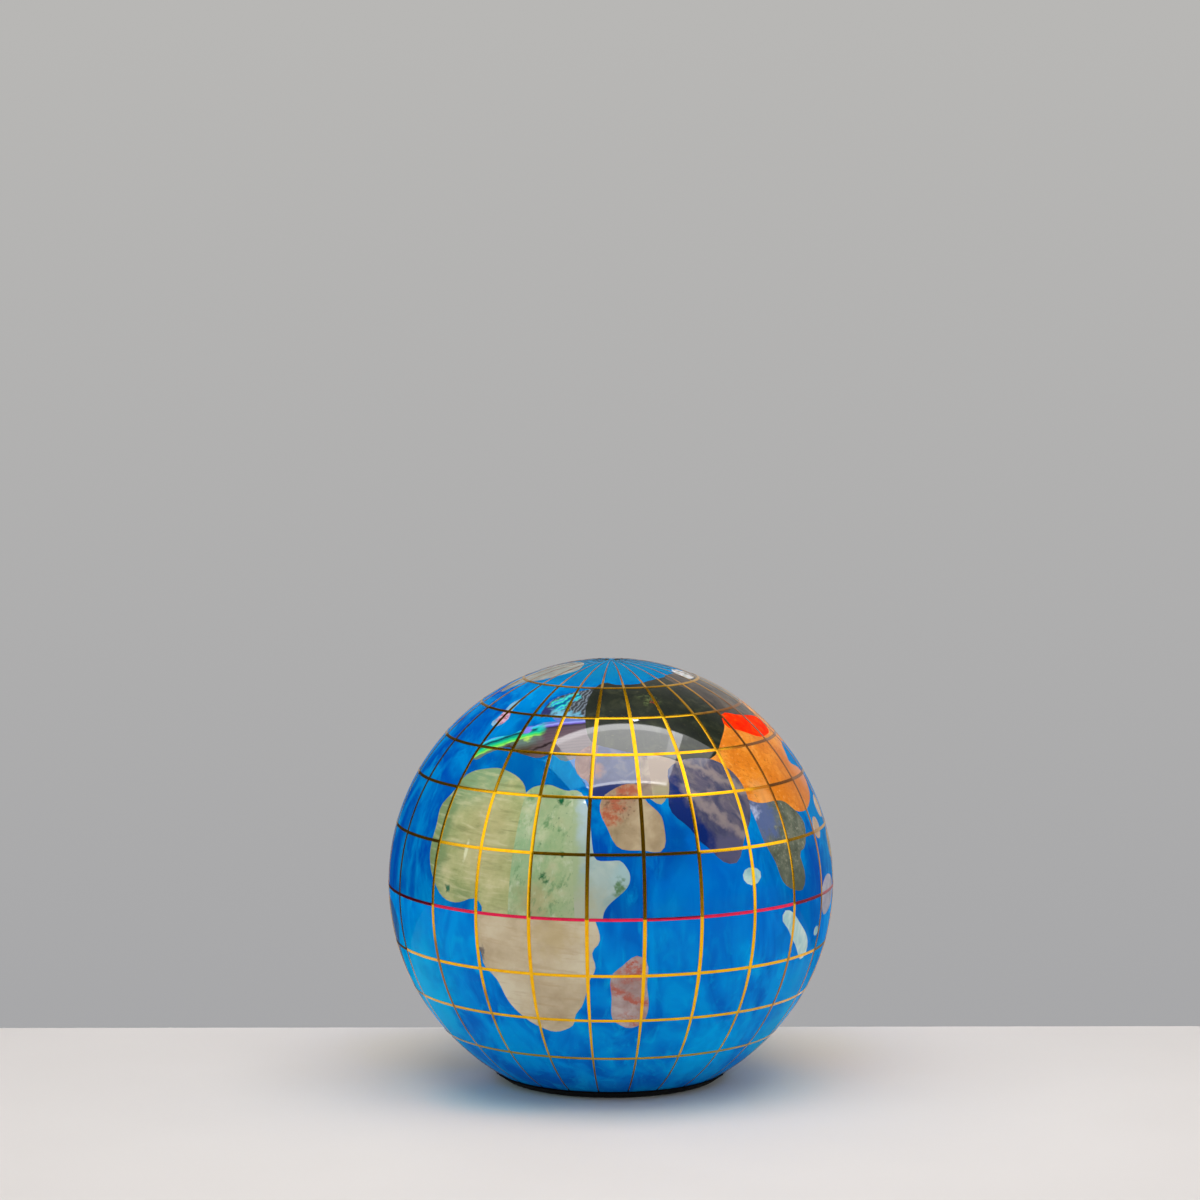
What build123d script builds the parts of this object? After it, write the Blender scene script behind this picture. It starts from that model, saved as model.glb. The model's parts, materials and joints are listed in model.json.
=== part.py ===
"""Gemstone-inlaid desk globe: a ground ball that rests on its own padded flat.

A heavy round core carries a skin of two cast ocean shells and of stones cut to the outlines of the land.
Flat brass strips mark every meridian and parallel, a red strip marks the equator, a felt pad is the foot.
Millimetres, +Z up, origin under the middle of the pad. The side with Africa and Arabia faces -Y.
"""

import os
from math import asin, cos, degrees, radians, sin, sqrt

from build123d import *

# Driving dimensions
GLOBE_DIAMETER = 80.0
SKIN_THICKNESS = 3.0
FLAT_DIAMETER = 41.2
PAD_DIAMETER = 42.0
PAD_THICKNESS = 1.4
PAD_FOOT_DIAMETER = 38.0
FACET_LENGTH = 1.4
MERIDIAN_WIDTH = 0.65
MERIDIAN_FOOT_WIDTH = 0.2
TAPER_LATITUDES = (-14.5, 54.5)
PARALLEL_WIDTH = 0.55
STRIP_THICKNESS = 0.12
STRIP_GAP = 0.03
POLE_GAP = 0.6
FLAT_MARGIN_ANGLE = 3.0
MERIDIANS = (
    -165.0, -150.0, -135.0, -120.0, -105.0, -90.0, -75.0, -60.0, -46.0, -32.0, -14.0, 1.2,
    16.2, 31.0, 45.3, 60.0, 75.5, 90.2, 105.5, 120.0, 135.0, 150.0, 165.0, 180.0,
)
NORTHERN_PARALLELS = (16.0, 30.5, 42.5, 54.5, 67.0)
SOUTHERN_PARALLELS = (-14.5, -27.5, -41.0)
FRONT_LONGITUDE = 37.5
SEAM_LONGITUDE = -172.0

# Sizes that follow from them
GLOBE_RADIUS = GLOBE_DIAMETER / 2
CORE_RADIUS = GLOBE_RADIUS - SKIN_THICKNESS
FLAT_DEPTH = sqrt(GLOBE_RADIUS**2 - (FLAT_DIAMETER / 2) ** 2)
FLAT_LATITUDE = -degrees(asin(FLAT_DEPTH / GLOBE_RADIUS))
CENTRE = Vector(0, 0, PAD_THICKNESS + FLAT_DEPTH)
FLAT_PLANE = Plane.XY.offset(PAD_THICKNESS)
EQUATOR_PLANE = Plane(CENTRE)
BALL_TURN = (0, 0, SEAM_LONGITUDE - FRONT_LONGITUDE - 90)

# How far a stone's cutting prism reaches past the skin, inside and outside, as shares of the radius
PRISM_INSIDE = 0.92
PRISM_OUTSIDE = 1.06
SAME_POINT = 1e-6


def closed(*points):
    """An outline of one smooth run that comes back to its first point."""
    return [points + points[:1]]


# Outlines of the stones: runs of (longitude, latitude) in degrees, as they sit against the graticule.
# A run of three or more points is a smooth curve. Straight saw cuts join each run to the next.
# The stones of a landmass are listed in the order they are fitted, each ground to those before it.
AFRICA = {
    "africa_northwest_stone": [
        [(11.5, 31.2), (10.2, 33.3), (6.6, 35.5), (3.2, 36.5), (-0.5, 37.1), (-5, 36.6), (-9.5, 35.6),
         (-12.8, 33.8), (-14, 31.7), (-15, 29), (-17, 26.6), (-18, 24.5), (-17.3, 20.5), (-17.4, 16),
         (-17, 12), (-15.5, 8.4), (-13, 5), (-10.5, 2.7), (-6, 1.7), (-3, 2.3), (0.3, 3.4), (2.2, 2.8),
         (3, 0)],
        [(10.5, 0)],
    ],
    "africa_northeast_stone": [
        [(6, 28), (11.7, 31.2), (13.2, 32.6), (16, 33.4), (18.5, 33.6), (21.2, 32.9), (24.3, 32.2),
         (26, 32.2)],
        [(28, 0)],
        [(6, 0)],
    ],
    "africa_east_stone": [
        [(22, 30), (24.5, 32.2), (27.3, 32.3), (28.8, 31.3), (30, 29), (30.9, 26.5), (31.5, 23), (32, 19),
         (32.7, 15.5)],
        [(32.7, 15.5), (33.5, 14.7), (35.2, 14.5), (37.5, 14.6), (39.4, 14.5), (40.6, 13.3), (41.6, 11.5),
         (41.5, 9), (40.2, 7.1), (37.5, 4.8), (35.8, 3), (35.1, 1.5), (35, 0)],
        [(22, 0)],
    ],
    "africa_south_stone": [
        [(33, 0), (33.7, -2), (34.2, -4.1), (33.8, -6.2), (32.5, -7.6), (32.3, -9.2), (33, -11.4),
         (32.7, -13.5), (31.7, -15.2), (30.8, -18), (30, -20.8), (29, -23.3), (27.1, -26), (26.4, -28.7),
         (24, -30.5), (20, -31.5), (17, -30.6), (14.3, -29.3), (11.8, -27.4), (9.2, -24.6), (7.5, -21.4),
         (6, -17.2), (4, -15), (2.6, -13.4), (2.2, -10.6), (1, -7.6), (0.7, -4.9), (1.3, -1.4), (1.5, 0)],
    ],
    "madagascar_stone": closed(
        (36.9, -15), (37.6, -13.6), (39.5, -12), (41.5, -10.1), (43.3, -9.1), (45, -9.7), (46.1, -11.2),
        (46.2, -16), (46.9, -21), (46.9, -25.5), (45.3, -28.7), (41.8, -29.8), (39.5, -28.8),
        (37.6, -27.2), (37, -24), (37.1, -20),
    ),
}
EURASIA = {
    "arabia_stone": closed(
        (34.2, 30), (34.2, 26), (35.8, 23), (37.3, 19.8), (38.9, 17.8), (42, 17.1), (46, 16.9),
        (50.2, 16.8), (51.2, 18.5), (51.3, 22), (50.8, 25.5), (48.3, 28.2), (46.4, 30.5), (45.5, 33.6),
        (41.5, 34.2), (36.5, 32.2),
    ),
    "india_stone": closed(
        (54.5, 36), (54.1, 32), (53.4, 27.5), (55, 25), (58, 22.5), (61.2, 18.2), (63.4, 16.5),
        (65.4, 14.2), (68, 12.6), (71, 12.7), (72.7, 15), (74.8, 18.9), (78, 23), (79.3, 27), (79, 33),
        (76, 37.4), (72, 39.8), (65, 40.7), (59, 40),
    ),
    "mongolia_stone": closed(
        (97.5, 53), (106, 51.3), (115, 50), (119.5, 48), (118, 45.2), (110, 43.7), (102, 44),
        (95.5, 46.3), (90, 48), (87.3, 49), (88.5, 51.3), (92, 53.3),
    ),
    "russia_west_stone": [
        [(26, 66.5), (29, 69), (33, 70), (39, 69), (47, 68.8), (56, 69), (64, 70), (76, 71), (84, 71.5)],
        [(84, 71.5), (91, 61), (92.7, 56), (90.5, 52.5), (86, 48.8), (79, 44.5), (74, 41), (68, 39.5),
         (61, 39.5), (55, 41.6), (47, 42.6), (37, 44.5), (30, 46.5), (27, 51), (25, 58), (26, 66.5)],
    ],
    "china_stone": [
        [(121, 43), (118.5, 40), (115.6, 38.4), (113, 36.4), (111.4, 35), (115, 33.2), (118.2, 31.5),
         (118.8, 29.5), (117.5, 27.6), (114.8, 25.4), (110.4, 23.4), (106.5, 22.2), (102, 22), (98, 23),
         (96.3, 24.4), (94.5, 25.6), (91, 26.4), (86.5, 26.4), (81, 27.2)],
        [(74, 30)],
        [(68, 40), (75, 46), (88, 52)],
        [(110, 48)],
    ],
    "indochina_stone": [
        [(78, 28.5), (79.3, 24.5), (79.8, 22), (81, 16.6), (84, 10.7), (85.4, 6.8), (88, 4.4), (91, 3.3),
         (94.3, 3), (95.8, 5.4), (95.4, 9), (94.9, 12.4), (97, 12.9), (100, 16.2), (101.1, 18.9),
         (99.6, 21.5), (97, 27)],
    ],
    "taymyr_stone": closed((105, 69.3), (108, 72.8), (118, 74), (127, 72), (122, 68.5), (112, 68)),
    "russia_east_stone": [
        [(82, 71), (92, 72.3), (103, 72.4), (115, 72.2), (129, 71.2)],
        [(131, 62), (125, 54), (116, 48.5)],
        [(88, 50)],
    ],
    "manchuria_stone": [
        [(142, 52), (138, 47.5), (132.5, 43), (129.5, 40), (129, 36.3), (126.6, 35), (125.6, 38),
         (122.5, 40), (118, 39.3)],
        [(113, 45)],
        [(120, 56)],
    ],
    "far_east_stone": [
        [(125, 70), (133, 71.7), (143, 72), (158, 70.3), (172, 68.8), (178, 66), (174, 62.3), (165, 60),
         (162.5, 56), (158, 51.5), (155.5, 57), (150, 59.3), (142, 58.5), (136, 54.5), (141, 51)],
        [(120, 53)],
    ],
    "persia_stone": [
        [(31.6, 31.2), (34, 30.3), (40, 30), (46, 30.4)],
        [(49, 30)],
        [(49, 44)],
        [(32.5, 46)],
    ],
    "turkestan_stone": [
        [(44, 31), (48.5, 29.9), (51, 28.5), (53, 30.2), (55, 32)],
        [(60, 36)],
        [(60, 43)],
        [(46, 44)],
    ],
    "anatolia_stone": [
        [(36, 47), (30, 45.5), (25.3, 42.3), (25.6, 38.5), (27.5, 36), (30, 34.8), (30.6, 32.5),
         (33, 30.8)],
    ],
    "europe_stone": [
        [(28, 53.4), (21, 53.4), (15, 52.9), (9, 52.3), (5.5, 51.5), (2.5, 50.3), (-0.2, 48.7),
         (-3, 47.2), (-7.5, 46.2), (-12.5, 44.4), (-14.4, 42.6), (-14.8, 40.4), (-13.8, 38.7),
         (-11.5, 38.5), (-9.3, 40.2), (-6.5, 41.6), (-0.5, 43.3), (4.2, 41.9), (8, 41.4), (12.8, 41),
         (16.5, 42.3), (21, 40.4), (25, 41.3), (29, 43.3), (34, 46)],
    ],
    "scandinavia_stone": [
        [(28, 67), (20, 65.8), (13, 64.2), (8, 62.6), (5, 60.4), (4.2, 57.5), (4.5, 55), (5.8, 53.6),
         (8, 54.6), (10.5, 54.3), (13, 53.2), (17, 52.5), (27, 52)],
    ],
}
EUROPEAN_ISLANDS = {
    "britain_stone": closed(
        (-18, 50.5), (-16.8, 54), (-17.3, 58), (-14.5, 60), (-12.7, 57.5), (-12, 54.5), (-10.3, 52),
        (-12, 49.5), (-15.5, 49),
    ),
    "greenland_stone": closed(
        (-43, 60), (-52, 65), (-55, 71), (-64, 76), (-56, 80.5), (-34, 82.5), (-8, 79.5), (-3, 77),
        (-12, 72.5), (-22, 68.5), (-37, 64.5),
    ),
}
ASIAN_ISLANDS = {
    "sri_lanka_stone": closed((72.2, 9.4), (75, 11), (78.1, 9.2), (77.3, 7.4), (75.4, 6.5)),
    "japan_stone": closed(
        (130.5, 32), (135, 33), (140, 34.7), (142, 38), (143, 41.3), (146, 43.2), (142.5, 45.6),
        (139.5, 43), (138.2, 39.5), (135.5, 36.6), (131.5, 35),
    ),
    "taiwan_stone": closed((116.5, 23.6), (114.8, 21.2), (116, 18.9), (119.5, 18.4), (122, 21), (120, 24)),
    "hainan_stone": closed(
        (107, 18.5), (109.5, 19.6), (111.4, 18), (110.8, 15), (108, 14), (106.3, 15.5),
    ),
    "philippines_stone": closed((116.8, 10.5), (119, 14.5), (123, 14), (125, 8.5), (121, 7), (117.5, 8.2)),
    "borneo_stone": closed(
        (105.4, 0.2), (106.9, 2.6), (111, 4.3), (115, 3.4), (117.6, 0.5), (116.6, -3), (112, -5.4),
        (107.6, -5.4), (105.8, -2.4),
    ),
    "sumatra_stone": closed(
        (85.4, -2.3), (86.4, -1.2), (88.2, -1.4), (92.6, -4.8), (96.7, -8.4), (98.8, -11), (99.3, -13.8),
        (97.4, -15.7), (95, -14.2), (92.5, -11.2), (89.7, -8.4), (87.3, -5.5),
    ),
    "java_stone": closed((102, -9.1), (102.6, -8), (104.4, -8.1), (105, -9.6), (103.2, -10.3)),
    "new_guinea_stone": closed(
        (131.5, -1.8), (137, -2), (143, -4), (150.5, -9), (147, -10.3), (142.5, -8.8), (138.5, -8),
        (134, -4.7),
    ),
}
AUSTRALASIA = {
    "australia_west_stone": [
        [(129, -15), (125, -14.5), (121.5, -18), (114.5, -22), (115, -28), (116, -34), (121, -34.2),
         (129, -31.8)],
    ],
    "australia_east_stone": [
        [(127, -15.5), (131.5, -12), (136.5, -12.6), (140, -17.3), (142.3, -11.5), (146, -19),
         (152.5, -25.5), (151, -34), (146, -38.7), (139, -36.5), (134, -32.6), (127, -31.8)],
    ],
}
NEW_ZEALAND = {
    "north_island": closed((173, -35), (178.3, -38), (175.5, -41.3), (173.6, -39)),
    "south_island": closed((172.7, -41.9), (174, -43.2), (170.8, -46.2), (167, -46.6), (168.8, -44.3)),
}
NORTH_AMERICA = {
    "canada_west_stone": [
        [(-140, 69.8), (-128, 70.3), (-115, 68.6), (-101, 68.5)],
        [(-101, 49)],
        [(-123, 49), (-126.5, 51), (-130.5, 55.5), (-140, 60)],
    ],
    "alaska_stone": [
        [(-137, 70), (-148, 70.8), (-157, 71.2), (-165, 68), (-166, 64.5), (-163, 60), (-155, 58.5),
         (-146, 60.6), (-136, 62)],
    ],
    "usa_west_stone": [
        [(-101, 29.3), (-106, 31), (-117, 32.4), (-121, 35.5), (-124.2, 41), (-124, 47), (-122, 50)],
        [(-101, 50)],
    ],
    "canada_east_stone": [
        [(-104, 68.3), (-95, 70.5), (-86, 68), (-92, 62), (-93.5, 58.8), (-85, 55.5), (-80, 51.6),
         (-77.8, 57), (-76.5, 62), (-69, 60.5), (-62, 57), (-57, 52.5), (-65, 49.2), (-66.5, 45.2),
         (-72, 44.6), (-80, 43.6), (-88, 47.4), (-104, 48.5)],
    ],
    "usa_east_stone": [
        [(-104, 53)],
        [(-72, 47.5)],
        [(-70, 42.3), (-75, 38), (-78.5, 33.5), (-80.3, 27), (-82.6, 28), (-85, 30), (-91, 29.6),
         (-97, 27.6), (-104, 29.5)],
    ],
    "mexico_stone": [
        [(-115, 34)],
        [(-116.5, 31.5), (-112, 26), (-106, 21), (-100, 17), (-93, 15.4), (-87, 12.2), (-82, 8)],
        [(-79.5, 9.2), (-83.3, 11), (-84, 15), (-88, 16.4), (-87.5, 21), (-91, 19.2), (-96, 18.9),
         (-97.6, 23), (-96.5, 30)],
    ],
}
AMERICAN_ISLANDS = {
    "baffin_stone": closed((-64, 63.5), (-74, 66), (-81, 70), (-82, 73.6), (-71, 71), (-62.5, 66.5)),
    "cuba_stone": closed((-84.5, 22), (-80, 23.6), (-74.5, 20.6), (-78, 19.8), (-81, 21.4)),
}
SOUTH_AMERICA = {
    "colombia_stone": [
        [(-80, 0), (-78, 4), (-77, 8.5), (-72, 12), (-65, 10.7), (-58, 7), (-52, 4.5), (-50, 0)],
    ],
    "brazil_stone": [
        [(-50, 0), (-44.5, -2.6), (-37, -5), (-35, -8.5), (-38.8, -14), (-40.5, -21), (-48, -26),
         (-53, -32.5)],
        [(-58, -24)],
        [(-68, -10)],
        [(-68, 0)],
    ],
    "peru_stone": [
        [(-66, 0)],
        [(-56, -20)],
        [(-64, -22.5)],
        [(-70.3, -18.3), (-76, -14), (-80.5, -6), (-80, 0)],
    ],
    "argentina_stone": [
        [(-52.5, -32), (-57.3, -37.5), (-62.2, -39.5), (-65.3, -44.5), (-69, -52)],
        [(-71.5, -48)],
        [(-69.5, -34)],
        [(-67.5, -20)],
        [(-55, -20)],
    ],
    "chile_stone": [
        [(-70.5, -17.5), (-71.3, -28), (-73.3, -38), (-75.3, -47), (-72.5, -53), (-67, -55), (-66, -52)],
        [(-65, -22)],
    ],
}
LANDMASSES = (
    AFRICA, EURASIA, EUROPEAN_ISLANDS, ASIAN_ISLANDS, AUSTRALASIA, NEW_ZEALAND,
    NORTH_AMERICA, AMERICAN_ISLANDS, SOUTH_AMERICA,
)


def direction(longitude, latitude):
    """The unit vector from the ball's centre through a place on the map."""
    turn = radians(longitude - FRONT_LONGITUDE)
    rise = radians(latitude)
    return Vector(cos(rise) * sin(turn), -cos(rise) * cos(turn), sin(rise))


def ground_rays(run):
    """Directions along one run of an outline, where a smooth curve is ground as short straight facets."""
    rays = [direction(*point) for point in run]
    if len(run) < 3:
        return rays
    returns = run[0] == run[-1]
    places = [ray * GLOBE_RADIUS for ray in rays]
    curve = Spline(*places[:-1], periodic=True) if returns else Spline(*places)
    count = max(2 * len(run), round(curve.length / FACET_LENGTH))
    stop = count if returns else count + 1
    return [(curve @ (step / count)).normalized() for step in range(stop)]


def cutting_prism(runs):
    """A prism through the skin whose walls run square to the ball's surface along an outline."""
    rays = [ray for run in runs for ray in ground_rays(run)]
    pairs = zip(rays, rays[-1:] + rays[:-1])
    rays = [ray for ray, before in pairs if (ray - before).length > SAME_POINT]
    axis = sum(rays, Vector(0, 0, 0)).normalized()
    spread = min(ray.dot(axis) for ray in rays)
    with BuildPart() as prism:
        for depth in (CORE_RADIUS * PRISM_INSIDE * spread, GLOBE_RADIUS * PRISM_OUTSIDE):
            section = Plane(CENTRE + axis * depth, z_dir=axis)
            corners = [CENTRE + ray * (depth / ray.dot(axis)) for ray in rays]
            with BuildSketch(section):
                with BuildLine():
                    Polyline(*[section.to_local_coords(corner) for corner in corners], close=True)
                make_face()
        loft(ruled=True)
    return prism.part


def cut_stone(prism, fitted):
    """A stone of the skin's thickness, cut by its prism and ground to the stones fitted before it."""
    with BuildPart() as stone:
        add(prism)
        add(skin.part, mode=Mode.INTERSECT)
        if fitted:
            add(fitted, mode=Mode.SUBTRACT)
    return stone.part


def write(part, name):
    """Labels a finished piece and writes its file."""
    part.label = name
    export_step(part, f"parts/{name}.step")


os.makedirs("parts", exist_ok=True)

# Core: the heavy ball that carries the skin, with the flat ground on it
with BuildPart() as core:
    with Locations(CENTRE):
        Sphere(CORE_RADIUS, rotation=BALL_TURN)
    split(bisect_by=FLAT_PLANE, keep=Keep.TOP)
write(core.part, "core")

# Skin: the stock that both the ocean shells and the stones are cut from
with BuildPart() as skin:
    with Locations(CENTRE):
        Sphere(GLOBE_RADIUS, rotation=BALL_TURN)
    split(bisect_by=FLAT_PLANE, keep=Keep.TOP)
    add(core.part, mode=Mode.SUBTRACT)

# Stones
prisms = {}
stones = {}
for landmass in LANDMASSES:
    fitted = []
    for name, runs in landmass.items():
        prisms[name] = cutting_prism(runs)
        stones[name] = cut_stone(prisms[name], fitted)
        fitted.append(prisms[name])
new_zealand = Compound(children=[stones.pop(name) for name in NEW_ZEALAND])
stones["new_zealand_stones"] = new_zealand
for name, stone in stones.items():
    write(stone, name)

# Ocean: two cast half shells that meet at the equator, with a pocket for each stone
with BuildPart() as ocean_north:
    add(skin.part)
    split(bisect_by=EQUATOR_PLANE, keep=Keep.TOP)
    add(list(prisms.values()), mode=Mode.SUBTRACT)
write(ocean_north.part, "ocean_shell_north")

with BuildPart() as ocean_south:
    add(skin.part)
    split(bisect_by=EQUATOR_PLANE, keep=Keep.BOTTOM)
    add(list(prisms.values()), mode=Mode.SUBTRACT)
write(ocean_south.part, "ocean_shell_south")

# Meridian strips: whole from the flat to the pole, tapering to both ends as the map's gores do
strip_radius = GLOBE_RADIUS + STRIP_THICKNESS
lower_taper, upper_taper = (radians(latitude) for latitude in TAPER_LATITUDES)
pole_taper_angle = degrees(asin(MERIDIAN_WIDTH / 2 / (GLOBE_RADIUS * cos(upper_taper))))
foot_taper_height = GLOBE_RADIUS * sin(lower_taper)
with BuildPart() as meridian_strip:
    with BuildSketch(Plane(CENTRE, x_dir=(1, 0, 0), z_dir=(0, -1, 0))):
        Circle(strip_radius)
        Circle(GLOBE_RADIUS, mode=Mode.SUBTRACT)
        with Locations((POLE_GAP, -FLAT_DEPTH)):
            height = strip_radius + FLAT_DEPTH
            Rectangle(strip_radius, height, align=(Align.MIN, Align.MIN), mode=Mode.INTERSECT)
    extrude(amount=MERIDIAN_WIDTH / 2, both=True)
    with BuildSketch(FLAT_PLANE):
        with BuildLine():
            edge = PolarLine((0, 0), 2 * strip_radius, pole_taper_angle)
            Line(edge @ 1, (edge @ 1).X * Vector(1, 0) - (edge @ 1).Y * Vector(0, 1))
            PolarLine((0, 0), 2 * strip_radius, -pole_taper_angle)
        make_face()
    extrude(amount=2 * strip_radius, mode=Mode.INTERSECT)
    with BuildSketch(Plane(CENTRE, x_dir=(0, 1, 0), z_dir=(1, 0, 0))):
        with BuildLine():
            right_side = Polyline(
                (0, -FLAT_DEPTH),
                (MERIDIAN_FOOT_WIDTH / 2, -FLAT_DEPTH),
                (MERIDIAN_WIDTH / 2, foot_taper_height),
                (MERIDIAN_WIDTH / 2, strip_radius),
                (0, strip_radius),
            )
            mirror(right_side, about=Plane.YZ)
        make_face()
    extrude(amount=strip_radius, mode=Mode.INTERSECT)

with BuildPart() as meridian_strips:
    with Locations(*[Rotation(0, 0, longitude - FRONT_LONGITUDE - 90) for longitude in MERIDIANS]):
        add(meridian_strip.part)
write(meridian_strips.part, "meridian_strips")


def meridian_width(latitude):
    """The width that a meridian strip has where it crosses a parallel."""
    rise = radians(latitude)
    if rise > upper_taper:
        return MERIDIAN_WIDTH * cos(rise) / cos(upper_taper)
    height = GLOBE_RADIUS * sin(rise)
    share = min(1, (height + FLAT_DEPTH) / (foot_taper_height + FLAT_DEPTH))
    return MERIDIAN_FOOT_WIDTH + share * (MERIDIAN_WIDTH - MERIDIAN_FOOT_WIDTH)


def parallel_strips(latitude):
    """The short strips of one parallel, each from one meridian strip to the next."""
    rise = radians(latitude)
    inner_radius = GLOBE_RADIUS * cos(rise) - PARALLEL_WIDTH / 2 * abs(sin(rise))
    end_angle = degrees(asin((meridian_width(latitude) / 2 + STRIP_GAP) / inner_radius))
    level = Plane(CENTRE, x_dir=(1, 0, 0), z_dir=(0, -1, 0)).rotated((0, -latitude, 0))
    with BuildPart() as ring:
        for start, end in zip(MERIDIANS, MERIDIANS[1:] + (MERIDIANS[0] + 360,)):
            with BuildSketch(level.rotated((0, 0, start + end_angle - FRONT_LONGITUDE - 90))):
                with Locations((GLOBE_RADIUS, 0)):
                    Rectangle(STRIP_THICKNESS, PARALLEL_WIDTH, align=(Align.MIN, Align.CENTER))
            revolve(axis=Axis.Z, revolution_arc=end - start - 2 * end_angle)
    return ring.part


# Parallel strips, by hemisphere, and the red strips of the equator
north_strips = Compound(children=[parallel_strips(latitude) for latitude in NORTHERN_PARALLELS])
write(north_strips, "parallel_strips_north")
lowest_latitude = FLAT_LATITUDE + FLAT_MARGIN_ANGLE
clear_of_flat = [latitude for latitude in SOUTHERN_PARALLELS if latitude > lowest_latitude]
south_strips = Compound(children=[parallel_strips(latitude) for latitude in clear_of_flat])
write(south_strips, "parallel_strips_south")
write(parallel_strips(0), "equator_strips")

# Base pad: a felt disc under the flat, with its rim skived to a smaller foot
with BuildPart() as base_pad:
    rim_radius = PAD_DIAMETER / 2
    foot_radius = PAD_FOOT_DIAMETER / 2
    Cone(foot_radius, rim_radius, PAD_THICKNESS, align=(Align.CENTER, Align.CENTER, Align.MIN))
write(base_pad.part, "base_pad")
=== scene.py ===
"""Looks of the gemstone-inlaid globe: lacquered stones in an opal ocean, brass strips and a felt pad.

Metres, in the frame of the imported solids: +Z up, origin under the middle of the pad, Africa towards -Y.
Patterns are in millimetres, and their places are longitudes and latitudes of the map on the ball.
"""

import json
from math import atan, cos, pi, radians, sin

import bpy
import numpy as np
from mathutils import Matrix, Vector


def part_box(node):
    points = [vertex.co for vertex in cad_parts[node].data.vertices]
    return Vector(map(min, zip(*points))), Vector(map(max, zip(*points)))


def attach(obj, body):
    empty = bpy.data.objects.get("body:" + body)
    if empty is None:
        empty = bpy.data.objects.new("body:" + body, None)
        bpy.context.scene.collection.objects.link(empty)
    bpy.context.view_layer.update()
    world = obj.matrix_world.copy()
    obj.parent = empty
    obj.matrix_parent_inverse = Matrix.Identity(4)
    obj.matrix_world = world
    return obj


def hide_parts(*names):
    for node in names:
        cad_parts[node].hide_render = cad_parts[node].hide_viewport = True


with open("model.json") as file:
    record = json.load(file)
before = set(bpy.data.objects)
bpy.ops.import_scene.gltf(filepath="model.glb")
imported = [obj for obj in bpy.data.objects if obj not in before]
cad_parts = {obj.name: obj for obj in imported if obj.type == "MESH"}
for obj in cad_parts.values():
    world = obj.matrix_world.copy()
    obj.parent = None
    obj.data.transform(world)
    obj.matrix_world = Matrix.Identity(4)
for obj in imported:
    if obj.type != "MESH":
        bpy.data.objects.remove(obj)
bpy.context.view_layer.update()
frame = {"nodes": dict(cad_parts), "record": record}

MM = 0.001
BODY = "root"

# The ball, as the solids have it, and how close to it the points of its outer face lie
GLOBE_RADIUS = 40.0 * MM
CENTRE = np.array((0.0, 0.0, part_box("ocean_shell_north")[1].z - GLOBE_RADIUS))
FRONT_LONGITUDE = 37.5
ON_BALL = 0.02 * MM

# Strips: widths and places on the map
MERIDIAN_WIDTH = 0.65 * MM
MERIDIAN_FOOT_WIDTH = 0.2 * MM
TAPER_LATITUDES = (-14.5, 54.5)
PARALLEL_WIDTH = 0.55 * MM
STRIP_RISE = 0.03 * MM
STRIP_SINK = 0.05 * MM
STRIP_GAP = 0.03 * MM
MERIDIANS = (
    -165.0, -150.0, -135.0, -120.0, -105.0, -90.0, -75.0, -60.0, -46.0, -32.0, -14.0, 1.2,
    16.2, 31.0, 45.3, 60.0, 75.5, 90.2, 105.5, 120.0, 135.0, 150.0, 165.0, 180.0,
)
NORTHERN_PARALLELS = (16.0, 30.5, 42.5, 54.5, 67.0)
SOUTHERN_PARALLELS = (-41.0, -27.5, -14.5)
EQUATOR = (0.0,)
LOWEST_LATITUDE = -59.0
HIGHEST_LATITUDE = 89.1

# How each piece of strip lies: its stations, how flat and how crowned it looks, and how far it leans
STATIONS = 8
FLATNESS = 0.8
CROWN = 0.1
TILT = 0.025
SEED = 11
rng = np.random.default_rng(SEED)

# Lacquer, the gloss and relief under it, and the slants, from facing 0 to edge-on 1, where it mirrors less
LACQUER_IOR = 1.3
LACQUER_ROUGHNESS = 0.03
STONE_GLOSS = 0.05
RELIEF_STRENGTH = 0.35
FACING_SLANTS = (0.22, 0.5)
EDGE_SLANTS = (0.88, 0.98)

# Patterns: the wave texture's scale for bands a millimetre apart, and the noise that edges wander with
BAND_SCALE = 0.314
BAND_DETAIL = 3.0
WANDER_NOISE = (0.25, 0.75)
RAGGED_NOISE = (0.3, 0.7)


def direction(longitude, latitude):
    """The unit vector from the ball's centre through a place on the map."""
    turn = radians(longitude - FRONT_LONGITUDE)
    rise = radians(latitude)
    return np.array((cos(rise) * sin(turn), -cos(rise) * cos(turn), sin(rise)))


def eastward(longitude):
    """The unit vector along a parallel."""
    turn = radians(longitude - FRONT_LONGITUDE)
    return np.array((cos(turn), sin(turn), 0.0))


def unit(vectors):
    """Vectors made one long."""
    return vectors / np.linalg.norm(vectors, axis=-1, keepdims=True)


def srgb(red, green, blue):
    """A linear colour from display values of 0 to 255."""
    shares = np.array((red, green, blue)) / 255
    linear = np.where(shares > 0.04045, ((shares + 0.055) / 1.055) ** 2.4, shares / 12.92)
    return (*linear.tolist(), 1.0)


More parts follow.
